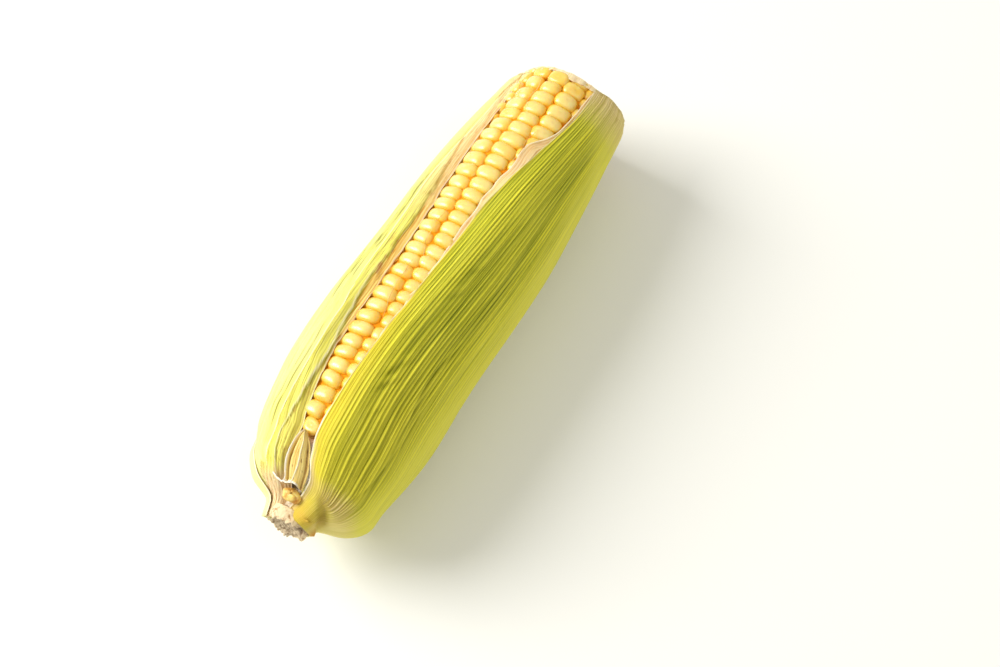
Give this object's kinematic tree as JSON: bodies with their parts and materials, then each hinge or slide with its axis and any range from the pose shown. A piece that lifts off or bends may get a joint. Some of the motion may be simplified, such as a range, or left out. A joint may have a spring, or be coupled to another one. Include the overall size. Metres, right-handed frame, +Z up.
{
  "type": "corn cob",
  "caption": "Ear of sweetcorn lying in its opened green husk, with rows of yellow kernels showing and both ends trimmed.",
  "frame": {"origin": "on the surface that the ear rests on, under the middle of its bounding box", "axes": "+X along the ear from the cut shank to the trimmed tip, +Z up out of the husk's opening, +Y to the side that the opening's paler leaf covers"},
  "size_m": [0.175, 0.0552, 0.0529],
  "materials": {
    "kernel": "gloss",
    "cob": "matte",
    "husk_green": "satin",
    "husk_pale": "satin",
    "husk_inner": "matte",
    "bract": "matte",
    "bud": "satin",
    "silk": "satin"
  },
  "bodies": {
    "root": {"cob": "cob", "kernel_row_01": "kernel", "kernel_row_02": "kernel", "kernel_row_03": "kernel", "kernel_row_04": "kernel", "kernel_row_05": "kernel", "kernel_row_06": "kernel", "kernel_row_07": "kernel", "kernel_row_08": "kernel", "kernel_row_09": "kernel", "kernel_row_10": "kernel", "kernel_row_11": "kernel", "kernel_row_12": "kernel", "kernel_row_13": "kernel", "kernel_row_14": "kernel", "kernel_row_15": "kernel", "kernel_row_16": "kernel", "husk_inner_right": "husk_inner", "husk_inner_left": "husk_inner", "husk_tip_band": "husk_inner", "husk_outer_right": "husk_green", "husk_outer_left": "husk_pale", "husk_outer_under": "husk_green", "base_bract": "bract", "base_bud": "bud", "silk_strand_01": "silk", "silk_strand_02": "silk", "silk_strand_03": "silk"}
  },
  "joints": []
}
